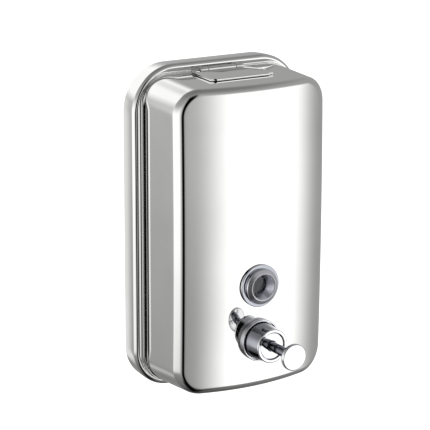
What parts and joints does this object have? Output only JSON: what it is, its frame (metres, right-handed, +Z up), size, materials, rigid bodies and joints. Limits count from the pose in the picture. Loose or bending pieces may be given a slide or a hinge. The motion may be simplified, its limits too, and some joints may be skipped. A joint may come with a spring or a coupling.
{
  "type": "wall mounted soap dispenser",
  "caption": "Polished steel wall soap dispenser: a hook-on tank with a hinged filler lid, a round sight glass and a push pump with its outlet under the barrel.",
  "frame": {"origin": "on the wall plane, at the centre of the flange's outline", "axes": "+X to the right seen from the front, +Y into the wall, +Z up"},
  "size_m": [0.12, 0.1035, 0.206],
  "materials": {
    "polished_steel": "mirror polished stainless steel",
    "sheet_steel": "mill finish stainless sheet",
    "chrome": "chrome plated",
    "clear_plastic": "clear moulded plastic",
    "rubber": "black rubber",
    "pump_plastic": "moulded white plastic",
    "spring_steel": "bright spring steel"
  },
  "bodies": {
    "wall_mount": {"wall_plate": "sheet_steel"},
    "tank": {"front_shell": "polished_steel", "back_plate": "sheet_steel", "hanger_rail": "sheet_steel", "hinge_lug_left": "polished_steel", "hinge_lug_right": "polished_steel", "hinge_pin": "chrome", "sight_bezel": "chrome", "sight_lens": "clear_plastic", "lens_retainer": "pump_plastic", "sight_gasket": "rubber", "sight_nut": "chrome", "pump_escutcheon": "chrome", "pump_barrel": "chrome", "barrel_screw": "spring_steel", "pump_cap": "chrome", "stem_seal": "rubber", "return_spring": "spring_steel", "pump_gasket": "rubber", "pump_nut": "chrome", "inlet_housing": "pump_plastic", "ball_seat": "pump_plastic", "dip_tube": "clear_plastic", "outlet_nozzle": "chrome", "outlet_valve": "rubber"},
    "lid": {"filler_lid": "polished_steel", "lid_gasket": "rubber"},
    "plunger": {"push_button": "chrome", "piston_stem": "chrome", "piston": "pump_plastic", "piston_seal": "rubber"},
    "valve_ball": {"inlet_ball": "chrome"}
  },
  "joints": [
    {"name": "unhook", "type": "slide", "parent": "wall_mount", "child": "tank", "axis": [0, 0, 1], "range_m": [0, 0.012]},
    {"name": "lid_hinge", "type": "hinge", "parent": "tank", "child": "lid", "pos_m": [0, -0.0184, 0.09836], "axis": [-1, 0, 0], "range_deg": [0, 95]},
    {"name": "push_stroke", "type": "slide", "parent": "tank", "child": "plunger", "axis": [0, 1, 0], "range_m": [0, 0.012], "stiffness_N_per_m": 250, "springref_m": -0.008, "deforming": ["return_spring"]},
    {"name": "ball_lift", "type": "slide", "parent": "tank", "child": "valve_ball", "axis": [0, 0, 1], "range_m": [0, 0.002]}
  ]
}
